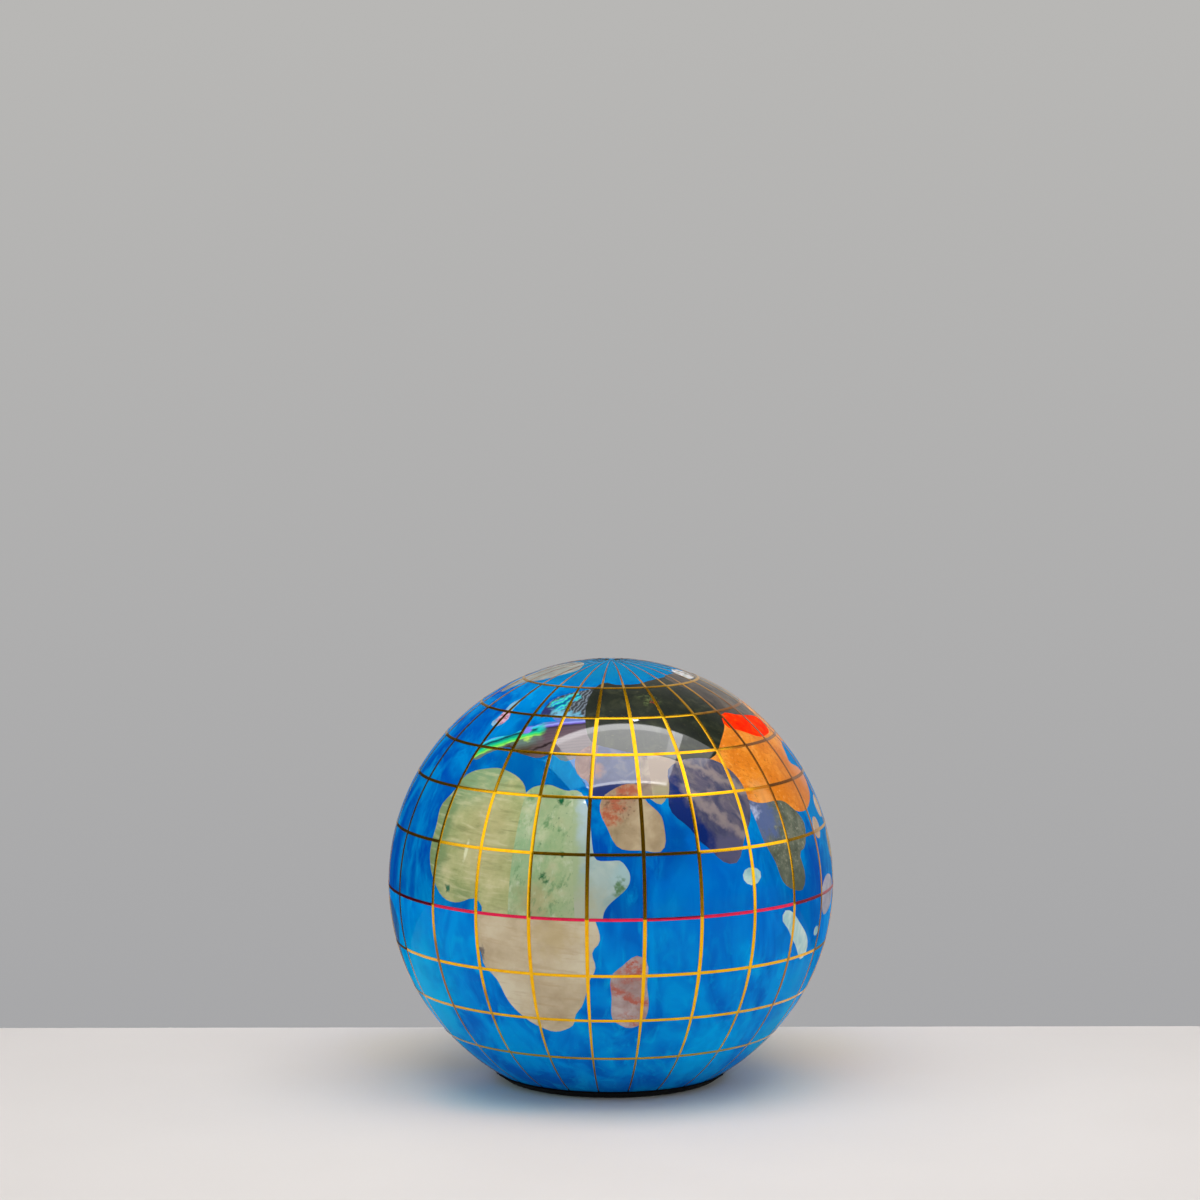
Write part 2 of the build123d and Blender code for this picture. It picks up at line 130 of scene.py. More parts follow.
class Nodes:
    """A tree of shader nodes that grows node by node."""

    def __init__(self, tree):
        self.tree = tree

    def feed(self, socket, value):
        """Links a socket to another, or gives it a value."""
        if isinstance(value, bpy.types.NodeSocket):
            self.tree.links.new(value, socket)
        else:
            socket.default_value = value

    def add(self, kind, inputs=None, **settings):
        """A new node with these inputs and settings."""
        node = self.tree.nodes.new(kind)
        for name, value in settings.items():
            setattr(node, name, value)
        for name, value in (inputs or {}).items():
            self.feed(node.inputs[name], value)
        return node

    def math(self, operation, first, second=0.0):
        """Arithmetic on two values, or on the first alone."""
        return self.add("ShaderNodeMath", {0: first, 1: second}, operation=operation).outputs["Value"]

    def span(self, value, low, high, bottom=0.0, top=1.0, kind="SMOOTHSTEP"):
        """A value taken from low..high to bottom..top."""
        inputs = {"Value": value, "From Min": low, "From Max": high, "To Min": bottom, "To Max": top}
        return self.add("ShaderNodeMapRange", inputs, interpolation_type=kind).outputs["Result"]

    def ramp(self, value, *stops):
        """Colours along a value: each stop is a position and three display values."""
        node = self.add("ShaderNodeValToRGB", {"Fac": value})
        elements = node.color_ramp.elements
        while len(elements) < len(stops):
            elements.new(0.5)
        for element, (position, colour) in zip(elements, stops):
            element.position = position
            element.color = srgb(*colour)
        return node.outputs["Color"]

    def blend(self, amount, under, over):
        """One colour laid over another."""
        under, over = (srgb(*colour) if isinstance(colour, tuple) else colour for colour in (under, over))
        inputs = {"Factor": amount, "A": under, "B": over}
        return self.add("ShaderNodeMix", inputs, data_type="RGBA").outputs["Result"]


class Look(Nodes):
    """A procedural material under clear lacquer, built up one colour layer at a time."""

    def __init__(self, name, roughness=0.45, metallic=0.0, lacquer=1.0, gloss=STONE_GLOSS):
        self.material = bpy.data.materials.new(name)
        self.material.use_nodes = True
        super().__init__(self.material.node_tree)
        self.shader = self.tree.nodes["Principled BSDF"]
        constants = {
            "Roughness": roughness, "Metallic": metallic, "Specular IOR Level": gloss,
            "Coat Weight": lacquer, "Coat Roughness": LACQUER_ROUGHNESS, "Coat IOR": LACQUER_IOR,
        }
        for socket, value in constants.items():
            self.shader.inputs[socket].default_value = value
        self.object_place = self.add("ShaderNodeTexCoord").outputs["Object"]

    def place(self, stretch=(1, 1, 1), turn=(0, 0, 0), shift=(0, 0, 0)):
        """Coordinates in millimetres, turned, moved and stretched along their axes."""
        inputs = {
            "Vector": self.object_place,
            "Location": [s * MM for s in shift],
            "Rotation": [radians(t) for t in turn],
            "Scale": [s * MM for s in stretch],
        }
        return self.add("ShaderNodeMapping", inputs, vector_type="TEXTURE").outputs["Vector"]

    def noise(self, where, size, detail=4.0, roughness=0.55, distortion=0.0):
        """Clouds of about this size in millimetres."""
        inputs = {
            "Vector": where, "Scale": 1 / size, "Detail": detail, "Roughness": roughness,
            "Distortion": distortion,
        }
        return self.add("ShaderNodeTexNoise", inputs).outputs["Fac"]

    def bands(self, where, size, distortion, detail_scale=1.5):
        """Bands across the first axis, about this far apart in millimetres."""
        inputs = {
            "Vector": where, "Scale": BAND_SCALE / size, "Distortion": distortion, "Detail": BAND_DETAIL,
            "Detail Scale": detail_scale,
        }
        settings = {"wave_profile": "SIN", "bands_direction": "X"}
        return self.add("ShaderNodeTexWave", inputs, **settings).outputs["Fac"]

    def length(self, where):
        """How far these coordinates are from their origin."""
        return self.add("ShaderNodeVectorMath", {0: where}, operation="LENGTH").outputs["Value"]

    def across(self, first, second):
        """Millimetres to the left of the great circle from one place on the map to another."""
        normal = unit(np.cross(direction(*first), direction(*second)))
        inputs = {0: self.object_place, 1: (normal / MM).tolist()}
        product = self.add("ShaderNodeVectorMath", inputs, operation="DOT_PRODUCT")
        return self.math("SUBTRACT", product.outputs["Value"], float(normal @ CENTRE) / MM)

    def wander(self, value, amount, size):
        """A value that strays by about this amount, in clouds of this size."""
        cloud = self.noise(self.place(), size, detail=3)
        return self.math("ADD", value, self.span(cloud, *WANDER_NOISE, -amount, amount, "LINEAR"))

    def from_line(self, first, second, amount, size):
        """Millimetres from the great circle between two places, either way, with some wander."""
        return self.math("ABSOLUTE", self.wander(self.across(first, second), amount, size))

    def ripples(self, value, period):
        """Lines at this spacing along a value, from 0 to 1."""
        wave = self.math("SINE", self.math("MULTIPLY", value, 2 * pi / period))
        return self.span(wave, -1.0, 1.0, kind="LINEAR")

    def near(self, place, radius, edge=1.0, ragged=0.0, grain=2.0, **shape):
        """One inside a spot of this radius around a place on the map, zero outside its soft, ragged edge."""
        middle = (CENTRE + direction(*place) * GLOBE_RADIUS) / MM
        distance = self.length(self.place(shift=middle, **shape))
        if ragged:
            rough = self.noise(self.place(), grain, detail=3)
            distance = self.math("ADD", distance, self.span(rough, *RAGGED_NOISE, -ragged, ragged))
        return self.span(distance, radius - edge, radius + edge, 1.0, 0.0)

    def spot(self, colour, tone, place, radius, strength=1.0, **shape):
        """A colour with a tone laid over a spot around a place on the map."""
        amount = self.near(place, radius, **shape)
        if strength != 1.0:
            amount = self.math("MULTIPLY", amount, strength)
        return self.blend(amount, colour, tone)

    def above(self, colour, tone, value, low, high, strength=1.0):
        """A colour with a tone laid over it where a value is above low, and fully above high."""
        return self.blend(self.span(value, low, high, 0.0, strength), colour, tone)

    def below(self, colour, tone, value, low, high, strength=1.0):
        """A colour with a tone laid over it where a value is below high, and fully below low."""
        return self.blend(self.span(value, low, high, strength, 0.0), colour, tone)

    def mirror_less(self, facing, slanted, where=1.0):
        """Lets the lacquer mirror this much facing the eye, less at a slant, and fully at the edge.

        Where the last value is zero, it mirrors no more facing the eye than at a slant.
        """
        slant = self.add("ShaderNodeLayerWeight").outputs["Facing"]
        inner = self.math("MULTIPLY", self.span(slant, *FACING_SLANTS, facing - slanted, 0.0), where)
        edge = self.span(slant, *EDGE_SLANTS, slanted, 1.0)
        self.feed(self.shader.inputs["Coat Weight"], self.math("ADD", inner, edge))

    def finish(self, colour, relief=None, height=0.05):
        """Feeds the colour, and a fine relief under the lacquer."""
        self.feed(self.shader.inputs["Base Color"], colour)
        if relief is not None:
            inputs = {"Strength": RELIEF_STRENGTH, "Distance": height * MM, "Height": relief}
            self.feed(self.shader.inputs["Normal"], self.add("ShaderNodeBump", inputs).outputs["Normal"])
        return self.material


# Patches of the ocean, darker and paler; the pale cyan ones low in the south are painted light from the
# table below. Each has a place on the map, a radius and a tone
OCEAN_PATCHES_AND_PAINTED_GLOW = (
    ((12, 37), 11.0, (0, 92, 156)), ((-13, 24), 6.0, (0, 78, 170)), ((57, 18), 5.0, (0, 80, 152)),
    ((64, 5), 11.0, (0, 112, 208)), ((124, 26), 13.0, (0, 130, 186)), ((-22, -16), 8.0, (0, 156, 220)),
    ((104, -22), 6.0, (0, 150, 216)), ((72, -41), 7.0, (0, 174, 244)), ((-30, -27), 9.0, (0, 190, 244)),
    ((103, -38), 6.0, (0, 176, 230)), ((97, -3), 7.0, (0, 82, 168)),
)
PATCH_STRENGTH = 0.65
OCEAN_SLANTED_MIRROR = 0.15
MIRROR_ABOVE_EQUATOR = (3.0, 10.0)


def ocean(name, tones, wisp, pole, facing_mirror, seed):
    """Cast opal resin: soft vertical clouds with paler wisps in them, and patches, some of them painted
    light.
    """
    look = Look(name, roughness=0.35, gloss=0.0)
    tall = look.place(stretch=(1, 1, 2.6), turn=(8, -6, 0), shift=(seed, seed, seed))
    clouds = look.noise(tall, 7.0, detail=3, distortion=1.1)
    colour = look.ramp(clouds, (0.36, tones[0]), (0.49, tones[1]), (0.61, tones[2]))
    streaks = look.place(stretch=(1, 1, 3.4), turn=(-10, 5, 20), shift=(0, seed, 0))
    threads = look.noise(streaks, 3.2, detail=5, roughness=0.6, distortion=1.4)
    colour = look.above(colour, wisp, threads, 0.5, 0.74, 0.65)
    colour = look.spot(colour, pole, (0, 90), 15.0, edge=6.0)
    # Darker and paler patches; the pale cyan ones low in the south are painted light from the table
    for place, radius, tone in OCEAN_PATCHES_AND_PAINTED_GLOW:
        soft = {"edge": 0.5 * radius, "ragged": 0.3 * radius, "grain": 5.0}
        colour = look.spot(colour, tone, place, radius, PATCH_STRENGTH, **soft)
    northern = look.span(look.across((0, 0), (90, 0)), *MIRROR_ABOVE_EQUATOR)
    look.mirror_less(facing_mirror, OCEAN_SLANTED_MIRROR, northern)
    return look.finish(colour, look.noise(look.place(), 0.8))


def pale_green():
    """North-west Africa: grain along the parallels, greener in the west and at the top."""
    look = Look("pale_green_stone")
    grain = look.noise(look.place(stretch=(5, 5, 0.7), turn=(6, 0, 0)), 1.2, detail=5, distortion=0.5)
    clouds = look.noise(look.place(), 6.0, detail=5, roughness=0.65)
    colour = look.ramp(clouds, (0.3, (124, 146, 92)), (0.48, (164, 170, 116)), (0.72, (198, 194, 146)))
    west = look.wander(look.across((-11, 0), (-7, 36)), 2.0, 4.0)
    colour = look.above(colour, (116, 142, 94), west, -1.5, 3.0, 0.9)
    colour = look.spot(colour, (122, 156, 114), (-6, 35), 5.5, 0.85, edge=3.0, ragged=1.5, grain=3.0)
    middle = {"edge": 4.0, "ragged": 2.0, "grain": 3.0, "stretch": (0.8, 1, 1.5)}
    colour = look.spot(colour, (184, 172, 122), (2, 20), 5.0, 0.5, **middle)
    colour = look.above(colour, (206, 202, 160), grain, 0.5, 0.7, 0.5)
    colour = look.below(colour, (112, 124, 78), grain, 0.3, 0.46, 0.45)
    chip = {"edge": 0.2, "ragged": 0.1, "grain": 1.0, "stretch": (1, 1, 16), "turn": (0, 9, 0)}
    colour = look.spot(colour, (214, 216, 176), (-3.5, 15), 0.3, **chip)
    colour = look.spot(colour, (48, 104, 74), (-8.5, 5), 0.5, edge=0.4, ragged=0.3, grain=0.8)
    return look.finish(colour, grain)


def speckled_green():
    """North-east Africa: beige clouds, green flecks and dark specks. Brazil's east end is ocean blue."""
    look = Look("speckled_green_stone")
    clouds = look.noise(look.place(shift=(3, 0, 5)), 4.5, detail=5, roughness=0.65)
    colour = look.ramp(clouds, (0.3, (122, 158, 108)), (0.5, (152, 174, 128)), (0.7, (190, 196, 156)))
    beige = look.noise(look.place(shift=(7, 1, 2)), 3.2, detail=5)
    colour = look.above(colour, (176, 174, 136), beige, 0.5, 0.68, 0.6)
    tall = {"edge": 2.6, "ragged": 1.4, "stretch": (1, 1, 2.4)}
    colour = look.spot(colour, (140, 180, 140), (13, 16), 3.6, 0.4, **tall)
    colour = look.spot(colour, (132, 158, 112), (20, 30), 4.0, 0.6, edge=2.5, ragged=1.2)
    colour = look.spot(colour, (166, 154, 108), (17, 4), 3.0, 0.6, edge=2.4, ragged=1.4)
    east = look.wander(look.across((28, 0), (26, 32)), 1.0, 2.5)
    colour = look.below(colour, (160, 176, 136), east, 0.2, 3.0, 0.85)
    flecks = look.noise(look.place(stretch=(1, 1, 2.2), turn=(0, 25, 0)), 1.7, detail=6, roughness=0.7)
    colour = look.above(colour, (86, 134, 84), flecks, 0.53, 0.68, 0.75)
    pale = look.noise(look.place(stretch=(1, 1, 1.6), shift=(2, 8, 4)), 2.2, detail=6, roughness=0.7)
    colour = look.above(colour, (192, 200, 168), pale, 0.53, 0.7, 0.7)
    specks = look.noise(look.place(shift=(9, 2, 0)), 0.9, detail=5, roughness=0.75)
    colour = look.above(colour, (40, 88, 52), specks, 0.63, 0.7, 0.9)
    green_places = (((19.5, 10.3), 0.55), ((20.3, 9), 0.4), ((22.6, 29.5), 0.5), ((24.5, 16), 0.35))
    for place, radius in green_places:
        colour = look.spot(colour, (20, 92, 52), place, radius, edge=0.3, ragged=0.3, grain=0.7)
    wisps = look.noise(look.place(stretch=(1, 1, 2.6), shift=(5, 3, 0)), 2.4, detail=5, distortion=1.2)
    blue = look.ramp(wisps, (0.34, (0, 70, 160)), (0.5, (0, 108, 192)), (0.66, (14, 148, 212)))
    colour = look.spot(colour, blue, (-37, -10), 10.0, edge=0.4, ragged=0.5, grain=4.0)
    return look.finish(colour, flecks)


def grey_green():
    """East Africa: pale grey, greener along its western seam, with one dark green chip."""
    look = Look("grey_green_stone")
    clouds = look.noise(look.place(shift=(0, 4, 1)), 5.0, detail=5, distortion=0.6)
    colour = look.ramp(clouds, (0.3, (134, 162, 160)), (0.5, (156, 178, 174)), (0.72, (180, 194, 184)))
    seam = look.wander(look.across((28, 0), (26, 32)), 1.2, 2.5)
    colour = look.above(colour, (156, 174, 134), seam, -3.4, -0.2)
    colour = look.spot(colour, (168, 174, 152), (30.5, 3), 3.0, edge=2.4, ragged=1.0)
    colour = look.spot(colour, (168, 190, 192), (30.5, 27), 2.6, edge=2.0, ragged=0.8, stretch=(0.6, 1, 2.4))
    colour = look.spot(colour, (150, 186, 190), (41, 11), 2.2, 0.6, edge=1.4, ragged=0.6)
    chip = {"edge": 0.8, "ragged": 0.6, "grain": 0.9, "stretch": (0.8, 1, 1.6)}
    colour = look.spot(colour, (88, 124, 84), (39.2, 7.4), 0.9, **chip)
    return look.finish(colour, clouds)


def cream():
    """Southern Africa and Turkestan: layers along the parallels, and a dark chip on the west coast."""
    look = Look("cream_stone")
    layers = look.noise(look.place(stretch=(6, 6, 0.7), turn=(2, 4, 0)), 1.1, detail=6, roughness=0.6)
    clouds = look.noise(look.place(shift=(0, 0, 7)), 6.0, detail=5)
    colour = look.ramp(clouds, (0.3, (176, 156, 124)), (0.5, (198, 182, 150)), (0.7, (212, 202, 174)))
    colour = look.above(colour, (172, 142, 104), layers, 0.5, 0.72, 0.4)
    colour = look.spot(colour, (190, 170, 120), (23, -4), 3.4, 0.5, edge=2.6, ragged=1.2)
    colour = look.spot(colour, (146, 126, 108), (52, 38), 4.6, edge=2.4, ragged=1.2)
    colour = look.spot(colour, (160, 150, 120), (51.5, 31), 2.0, edge=1.4, ragged=0.6)
    chip = {"edge": 0.5, "ragged": 0.4, "grain": 0.8, "stretch": (1, 1, 1.6)}
    colour = look.spot(colour, (112, 104, 98), (1.8, -10), 0.7, **chip)
    return look.finish(colour, layers)


def pink_veined():
    """Madagascar: pale pink, mottled brick red above and below, with a red vein between."""
    look = Look("pink_veined_stone")
    brick = (178, 86, 66)
    clouds = look.noise(look.place(shift=(2, 2, 2)), 3.0, detail=5, distortion=0.8)
    colour = look.ramp(clouds, (0.3, (154, 128, 124)), (0.5, (172, 152, 148)), (0.7, (190, 178, 176)))
    mottle = look.noise(look.place(stretch=(1, 1, 0.8)), 1.4, detail=5, roughness=0.7)
    dense, sparse = look.span(mottle, 0.4, 0.62), look.span(mottle, 0.44, 0.66, 0.0, 0.8)
    colour = look.spot(colour, brick, (42.5, -12.5), 2.6, dense, edge=1.6, ragged=0.8)
    colour = look.spot(colour, brick, (42, -27.5), 2.4, sparse, edge=1.6, ragged=0.8)
    from_vein = look.from_line((38, -18.5), (45, -22), 1.1, 2.2)
    broken = look.span(mottle, 0.4, 0.56, 0.3, 1.0)
    vein = look.math("MULTIPLY", look.span(from_vein, 0.2, 1.3, 0.9, 0.0), broken)
    return look.finish(look.blend(vein, colour, brick), clouds)


def tan_red():
    """Arabia: tan, mottled red in the west and north, with dust between."""
    look = Look("tan_red_stone")
    clouds = look.noise(look.place(), 4.0, detail=5, distortion=0.4)
    colour = look.ramp(clouds, (0.3, (140, 122, 92)), (0.5, (166, 146, 114)), (0.7, (186, 168, 136)))
    colour = look.spot(colour, (154, 128, 100), (38.3, 30), 2.9, edge=1.6, ragged=1.2)
    mottle = look.noise(look.place(shift=(1, 0, 3)), 1.1, detail=6, roughness=0.7)
    mottled = look.span(mottle, 0.28, 0.62, 0.0, 0.95)
    red_places = (((36.7, 25.6), 1.75), ((38.2, 28.4), 1.5), ((42.9, 32.8), 1.7), ((40.8, 32.0), 1.3))
    for place, radius in red_places:
        colour = look.spot(colour, (166, 84, 54), place, radius, mottled, edge=0.8, ragged=0.6, grain=1.2)
    dust = look.noise(look.place(shift=(4, 0, 0)), 0.8, detail=5, roughness=0.7)
    dusty = look.span(dust, 0.5, 0.66)
    colour = look.spot(colour, (104, 76, 58), (39, 29.3), 2.6, dusty, edge=1.2, ragged=1.0)
    colour = look.above(colour, (140, 112, 80), dust, 0.58, 0.72, 0.35)
    return look.finish(colour, dust)


def pink_brown():
    """Anatolia: clouded red brown."""
    look = Look("pink_brown_stone")
    clouds = look.noise(look.place(stretch=(1, 1, 1.5)), 3.0, detail=5, distortion=0.8)
    colour = look.ramp(clouds, (0.3, (86, 50, 44)), (0.5, (112, 72, 62)), (0.7, (138, 102, 90)))
    return look.finish(colour, clouds)


def indigo():
    """India: pale streaks and a navy seam. Persia: bluer, with a cream strip in the east."""
    look = Look("indigo_stone")
    lean = look.place(stretch=(1, 1, 2.0), turn=(0, -32, 0))
    clouds = look.noise(lean, 2.8, detail=6, roughness=0.62, distortion=1.0)
    colour = look.ramp(
        clouds, (0.3, (52, 56, 90)), (0.46, (74, 74, 98)), (0.58, (98, 92, 106)), (0.72, (130, 118, 120)),
    )
    for first, second, width in (((61.8, 29.8), (69.5, 23.0), 1.7), ((62.5, 39.2), (71.2, 35.0), 1.5)):
        from_streak = look.from_line(first, second, 1.0, 1.8)
        colour = look.below(colour, (146, 132, 128), from_streak, 0.1 * width, width, 0.8)
    seam = look.wander(look.across((55.5, 38), (69, 13)), 1.6, 3.0)
    colour = look.below(colour, (4, 34, 102), seam, -2.0, 0.4)
    colour = look.spot(colour, (84, 82, 110), (69, 15.5), 3.2, edge=1.6, ragged=0.8)
    pale = look.noise(look.place(shift=(3, 0, 8)), 2.6, detail=5, distortion=0.8)
    persia = look.ramp(pale, (0.34, (36, 50, 96)), (0.52, (52, 64, 108)), (0.66, (84, 88, 112)))
    colour = look.spot(colour, persia, (40, 37), 8.5, edge=1.5, ragged=0.8)
    creamy = look.ramp(pale, (0.34, (124, 104, 94)), (0.66, (156, 138, 118)))
    east = look.span(look.across((45.3, 25), (45.3, 45)), -0.2, 0.2, 1.0, 0.0)
    colour = look.spot(colour, creamy, (45.5, 36), 4.4, east, edge=0.3)
    colour = look.spot(colour, (20, 38, 100), (35.5, 31.5), 2.4, edge=1.2, ragged=0.8)
    colour = look.spot(colour, (134, 90, 78), (32.0, 38.0), 1.2, edge=0.7, ragged=0.4)
    return look.finish(colour, clouds)


def olive_grey():
    """Indochina: dark and pale specks, darker below, with a blue corner at the upper left."""
    look = Look("olive_grey_stone")
    clouds = look.noise(look.place(), 3.0, detail=6, roughness=0.65)
    colour = look.ramp(clouds, (0.3, (70, 78, 66)), (0.5, (98, 104, 88)), (0.7, (136, 138, 118)))
    specks = look.noise(look.place(shift=(5, 5, 0)), 0.8, detail=5, roughness=0.75)
    colour = look.above(colour, (56, 60, 46), specks, 0.58, 0.7, 0.7)
    colour = look.below(colour, (158, 158, 138), specks, 0.34, 0.46, 0.75)
    colour = look.spot(colour, (72, 84, 74), (91, 4), 4.0, 0.6, edge=2.5, ragged=1.0)
    colour = look.spot(colour, (86, 102, 146), (81, 23), 4.4, 0.95, edge=2.0, ragged=1.6)
    colour = look.spot(colour, (170, 178, 204), (80, 24.5), 1.0, edge=0.8, ragged=0.6, grain=1.0)
    return look.finish(colour, specks)


def orange():
    """China: pale and dark flecks, brown dots, a grain that leans, and painted shade on its right side."""
    look = Look("orange_stone")
    clouds = look.noise(look.place(), 4.5, detail=5)
    colour = look.ramp(clouds, (0.3, (206, 108, 8)), (0.5, (224, 130, 24)), (0.7, (236, 154, 54)))
    flecks = look.noise(look.place(stretch=(1, 1, 0.6), shift=(1, 7, 0)), 0.9, detail=5, roughness=0.75)
    colour = look.above(colour, (240, 178, 104), flecks, 0.56, 0.7, 0.6)
    colour = look.below(colour, (186, 98, 14), flecks, 0.34, 0.47, 0.7)
    dots = look.noise(look.place(stretch=(1, 1, 1.8), turn=(0, -30, 0), shift=(4, 2, 6)), 0.55, detail=3)
    colour = look.above(colour, (150, 78, 12), dots, 0.6, 0.72, 0.6)
    grain = look.noise(look.place(stretch=(1, 1, 4), turn=(0, -12, 0)), 1.6, detail=5, roughness=0.6)
    colour = look.above(colour, (198, 104, 18), grain, 0.5, 0.7, 0.6)
    colour = look.spot(colour, (236, 170, 100), (86, 28.5), 2.6, 0.5, edge=1.6, ragged=1.2)
    colour = look.spot(colour, (226, 152, 112), (118, 33), 4.0, edge=2.5, ragged=1.0)
    # Painted shade: darker brown on the right, where the ball turns away from the light
    colour = look.spot(colour, (188, 106, 40), (110, 29), 6.0, 0.5, edge=4.0)
    look.mirror_less(facing=1.0, slanted=0.4)
    return look.finish(colour, flecks)


def red_orange():
    """Mongolia: streaks of scarlet and orange."""
    look = Look("red_orange_stone", gloss=0.0)
    streaks = look.noise(look.place(stretch=(3, 1, 1), turn=(0, -35, 0)), 1.8, detail=5, distortion=0.8)
    colour = look.ramp(streaks, (0.3, (226, 22, 0)), (0.5, (253, 44, 0)), (0.72, (255, 88, 6)))
    look.mirror_less(facing=0.6, slanted=0.1)
    return look.finish(colour, streaks)


def dark_green():
    """Western Russia: nearly black with pale specks, a tuft of moss and a red dot."""
    look = Look("dark_green_stone")
    clouds = look.noise(look.place(), 3.0, detail=5, distortion=0.5)
    colour = look.ramp(clouds, (0.3, (12, 18, 10)), (0.52, (27, 33, 19)), (0.74, (54, 58, 36)))
    specks = look.noise(look.place(shift=(0, 6, 3)), 0.7, detail=5, roughness=0.8)
    colour = look.above(colour, (104, 100, 64), specks, 0.6, 0.72, 0.6)
    moss = look.span(specks, 0.42, 0.6, 0.0, 0.75)
    colour = look.spot(colour, (96, 110, 60), (57.6, 61.6), 1.2, moss, edge=0.8, ragged=0.9, grain=1.2)
    colour = look.spot(colour, (206, 52, 24), (59.6, 60.5), 0.45, edge=0.25, ragged=0.4, grain=0.6)
    return look.finish(colour, specks)


def dark_brown():
    """Eastern Russia: slanting clouds."""
    look = Look("dark_brown_stone")
    clouds = look.noise(look.place(stretch=(2, 1, 1), turn=(0, -30, 0)), 3.0, detail=5, distortion=0.6)
    colour = look.ramp(clouds, (0.3, (44, 36, 30)), (0.52, (72, 60, 50)), (0.74, (104, 92, 78)))
    return look.finish(colour, clouds)


def western_shell(look, shore):
    """Western Europe: bright layers that follow the Atlantic shore."""
    colour = look.ramp(
        look.span(shore, -4.0, 1.6, kind="LINEAR"), (0.0, (78, 66, 50)), (0.25, (98, 118, 112)),
        (0.4, (96, 122, 108)), (0.446, (150, 226, 84)), (0.518, (64, 222, 104)), (0.607, (10, 190, 140)),
        (0.679, (12, 122, 122)), (0.714, (14, 48, 58)), (0.75, (20, 110, 130)), (0.795, (30, 196, 200)),
        (0.848, (70, 190, 230)), (0.884, (110, 150, 226)), (0.911, (0, 92, 176)), (0.946, (0, 98, 180)),
    )
    colour = look.spot(colour, (130, 120, 228), (2.8, 49.2), 0.9, edge=0.5, ragged=0.4, grain=1.2)
    colour = look.spot(colour, (18, 200, 182), (9.2, 50.7), 1.0, edge=0.6, ragged=0.4, grain=1.2)
    colour = look.spot(colour, (178, 222, 92), (5.1, 46.5), 0.45, edge=0.45, ragged=0.3, grain=0.8)
    return look.spot(colour, (72, 52, 42), (-1.0, 43.1), 1.1, edge=0.6, ragged=0.5, grain=1.2)


def eastern_shell(look):
    """Eastern Europe: dull layers under a violet northern edge, and a dark vein."""
    edge = look.wander(look.across((10.7, 50.4), (25.9, 52.5)), 0.12, 2.0)
    colour = look.ramp(
        look.span(edge, -4.0, 1.2, kind="LINEAR"), (0.0, (96, 80, 84)), (0.385, (92, 72, 82)),
        (0.673, (84, 68, 80)), (0.746, (60, 50, 62)), (0.77, (42, 36, 46)), (0.817, (112, 90, 200)),
        (0.885, (150, 158, 226)), (0.952, (96, 112, 190)),
    )
    from_vein = look.from_line((9.4, 43.2), (14.7, 45.5), 0.3, 1.2)
    vein = look.span(from_vein, 0.1, 0.35, 1.0, 0.0)
    return look.spot(colour, (42, 30, 32), (12.2, 44.5), 2.2, vein, edge=0.6)


def northern_shell(look):
    """Scandinavia: grey strokes with bright patches among them."""
    strokes = look.ripples(look.wander(look.across((17, 54), (22, 66)), 0.5, 1.5), 0.75)
    colour = look.ramp(strokes, (0.1, (56, 60, 64)), (0.6, (74, 80, 86)), (0.95, (112, 122, 132)))
    gleam = look.ripples(look.wander(look.across((6, 56.5), (18, 64)), 0.6, 1.6), 1.9)
    bright = look.ramp(
        gleam, (0.1, (10, 90, 140)), (0.45, (12, 180, 190)), (0.75, (70, 230, 180)), (1.0, (50, 140, 210)),
    )
    for place, radius in (((11, 59), 1.7), ((14.8, 62.2), 1.6)):
        colour = look.spot(colour, bright, place, radius, edge=0.6, ragged=0.6, grain=1.2)
    colour = look.spot(colour, (46, 50, 100), (6.8, 56.2), 1.3, edge=0.6, ragged=0.4)
    flat = {"edge": 0.5, "ragged": 0.4, "grain": 1.0, "stretch": (3, 3, 1)}
    return look.spot(colour, (110, 180, 208), (16, 54.6), 0.9, **flat)


def abalone():
    """Layered shell: plain growth rings, with layers of their own in Europe and Scandinavia."""
    look = Look("abalone_shell", roughness=0.25)
    growth = look.place(stretch=(2.2, 1.4, 1), turn=(0, -24, 10))
    rings = look.bands(growth, 2.4, distortion=6.0, detail_scale=0.7)
    colour = look.ramp(
        rings, (0.0, (44, 52, 62)), (0.3, (48, 112, 116)), (0.5, (92, 178, 140)), (0.72, (84, 132, 176)),
        (1.0, (96, 78, 120)),
    )
    shore = look.wander(look.across((-9.8, 43.8), (16.7, 51.7)), 0.22, 2.0)
    west = look.span(look.wander(look.across((9, 38), (10, 60)), 1.0, 2.0), -1.3, 1.3)
    europe = look.blend(west, eastern_shell(look), western_shell(look, shore))
    europe = look.above(europe, (40, 36, 44), look.ripples(shore, 0.62), 0.78, 1.0, 0.22)
    colour = look.spot(colour, europe, (8, 48), 19.0)
    north = look.span(look.across((2, 53.2), (28, 53.6)), -0.1, 0.1)
    colour = look.spot(colour, northern_shell(look), (15, 60), 9.5, north, edge=0.5)
    return look.finish(colour, rings)


def pale_pink():
    """Borneo: clouded lilac. Britain: aqua with a rose net."""
    look = Look("pale_pink_stone")
    clouds = look.noise(look.place(), 2.6, detail=5, distortion=0.6)
    colour = look.ramp(clouds, (0.3, (136, 136, 156)), (0.5, (158, 158, 174)), (0.7, (182, 180, 190)))
    aqua = look.ramp(clouds, (0.3, (70, 140, 184)), (0.5, (104, 164, 196)), (0.7, (140, 188, 208)))
    colour = look.spot(colour, aqua, (-14.5, 54), 7.5)
    net = look.noise(look.place(shift=(2, 0, 0)), 0.6, roughness=0.7)
    rose = look.ramp(net, (0.4, (150, 36, 84)), (0.58, (212, 182, 200)))
    colour = look.spot(colour, rose, (-13.2, 52.6), 1.8, edge=0.5, ragged=0.4, grain=1.2)
    return look.finish(colour, clouds)


